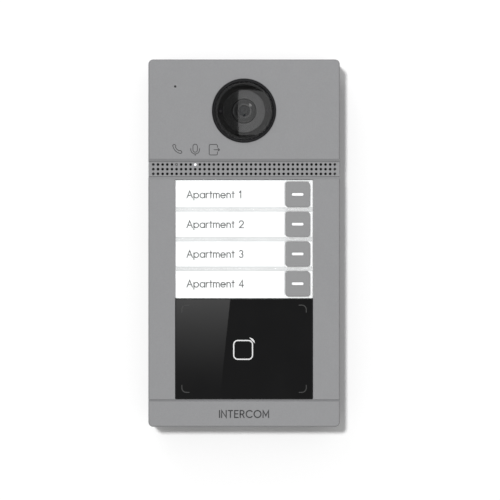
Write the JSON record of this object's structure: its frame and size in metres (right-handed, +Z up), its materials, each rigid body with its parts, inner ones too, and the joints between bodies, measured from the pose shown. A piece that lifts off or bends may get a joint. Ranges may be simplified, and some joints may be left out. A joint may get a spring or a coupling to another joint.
{
  "type": "video door intercom panel",
  "caption": "Slim wall-mounted video door station: domed camera window, perforated speaker band, backlit name rows with square call keys, black card reader and a hook-on wall plate.",
  "frame": {"origin": "centre of the wall plate's back face, on the wall; level with the middle of the station's height", "axes": "+Z up along the wall, -Y out of the wall towards the visitor, +X to the visitor's right when facing the panel"},
  "size_m": [0.1, 0.03, 0.192],
  "materials": {
    "silver_paint": "satin silver-grey powder coat on cast aluminium",
    "key_paint": "satin silver-grey paint",
    "light_bar": "frosted white light pipe",
    "bezel_black": "gloss black",
    "smoked_window": "smoked, hard-coated",
    "lens_black": "matte black",
    "lens_glass": "coated lens",
    "night_lamp": "dark epoxy lamp",
    "black_gloss": "gloss black",
    "white_diffuser": "satin white, lit from behind",
    "clear_cover": "clear moulded cover",
    "name_paper": "white card",
    "light_guide": "clear light pipe",
    "cloth": "black acoustic cloth",
    "rubber": "matte",
    "silicone": "translucent silicone",
    "circuit_board": "green solder mask",
    "black_chip": "moulded black",
    "tinned_steel": "tinned sheet",
    "speaker_plastic": "black",
    "speaker_cone": "coated film",
    "magnet": "nickel plate",
    "terminal_green": "green polyamide",
    "housing_black": "fine spark-eroded texture",
    "plunger_white": "natural acetal",
    "screw_steel": "stainless",
    "galvanised": "zinc-plated sheet"
  },
  "bodies": {
    "plate": {"mounting_plate": "galvanised"},
    "station": {"front_panel": "silver_paint", "speaker_grille": "silver_paint", "camera_bezel": "bezel_black", "camera_window": "smoked_window", "lens_barrel": "lens_black", "lens_holder": "lens_black", "lens_glass": "lens_glass", "ir_led_left": "night_lamp", "ir_led_right": "night_lamp", "card_window": "black_gloss", "nameplate_frame": "white_diffuser", "name_cover_1": "clear_cover", "name_cover_2": "clear_cover", "name_cover_3": "clear_cover", "name_cover_4": "clear_cover", "name_card_1": "name_paper", "name_card_2": "name_paper", "name_card_3": "name_paper", "name_card_4": "name_paper", "call_light_guide": "light_guide", "talk_light_guide": "light_guide", "unlock_light_guide": "light_guide", "grille_cloth": "cloth", "camera_seal": "rubber", "microphone_boot": "rubber", "housing_seal": "rubber", "keypad_membrane": "silicone", "camera_board": "circuit_board", "button_board": "circuit_board", "reader_board": "circuit_board", "main_board": "circuit_board", "image_sensor": "black_chip", "tamper_switch": "black_chip", "microphone": "tinned_steel", "processor_shield": "tinned_steel", "network_jack": "tinned_steel", "memory_card_socket": "tinned_steel", "speaker_frame": "speaker_plastic", "speaker_cone": "speaker_cone", "speaker_magnet": "magnet", "terminal_header": "terminal_green", "rear_housing": "housing_black", "housing_screw_1": "screw_steel", "housing_screw_2": "screw_steel", "housing_screw_3": "screw_steel", "housing_screw_4": "screw_steel"},
    "lock_washer": {"locking_screw_washer": "screw_steel"},
    "lock_screw": {"locking_screw": "screw_steel"},
    "call_key_1": {"call_button_1": "key_paint", "button_light_bar_1": "light_bar"},
    "call_key_2": {"call_button_2": "key_paint", "button_light_bar_2": "light_bar"},
    "call_key_3": {"call_button_3": "key_paint", "button_light_bar_3": "light_bar"},
    "call_key_4": {"call_button_4": "key_paint", "button_light_bar_4": "light_bar"},
    "plunger": {"tamper_plunger": "plunger_white"},
    "wire_plug": {"terminal_plug": "terminal_green"},
    "card": {"memory_card": "black_chip"}
  },
  "joints": [
    {"name": "station_lift", "type": "slide", "parent": "plate", "child": "station", "axis": [0, 0, 1], "range_m": [0, 0.006]},
    {"name": "lock_washer_drop", "type": "slide", "parent": "plate", "child": "lock_washer", "axis": [0, 0, -1], "range_m": [0, 0.006]},
    {"name": "lock_screw_turn", "type": "hinge", "parent": "lock_washer", "child": "lock_screw", "pos_m": [0, -0.0049, -0.0905], "axis": [0, 0, -1], "range_deg": [0, 4320]},
    {"name": "call_key_1_press", "type": "slide", "parent": "station", "child": "call_key_1", "axis": [0, 1, 0], "range_m": [0, 0.0006], "stiffness_N_per_m": 400, "springref_m": -0.001},
    {"name": "call_key_2_press", "type": "slide", "parent": "station", "child": "call_key_2", "axis": [0, 1, 0], "range_m": [0, 0.0006], "stiffness_N_per_m": 400, "springref_m": -0.001},
    {"name": "call_key_3_press", "type": "slide", "parent": "station", "child": "call_key_3", "axis": [0, 1, 0], "range_m": [0, 0.0006], "stiffness_N_per_m": 400, "springref_m": -0.001},
    {"name": "call_key_4_press", "type": "slide", "parent": "station", "child": "call_key_4", "axis": [0, 1, 0], "range_m": [0, 0.0006], "stiffness_N_per_m": 400, "springref_m": -0.001},
    {"name": "tamper_release", "type": "slide", "parent": "station", "child": "plunger", "axis": [0, 1, 0], "range_m": [0, 0.0012], "stiffness_N_per_m": 150, "springref_m": 0.003},
    {"name": "wire_plug_pull", "type": "slide", "parent": "station", "child": "wire_plug", "axis": [0, 0, -1], "range_m": [0, 0.0065]},
    {"name": "memory_card_slide", "type": "slide", "parent": "station", "child": "card", "axis": [1, 0, 0], "range_m": [0, 0.008]}
  ],
  "couplings": [
    {"joint": "lock_screw_turn", "follows": "lock_washer_drop", "rad_per_m": 12566}
  ]
}
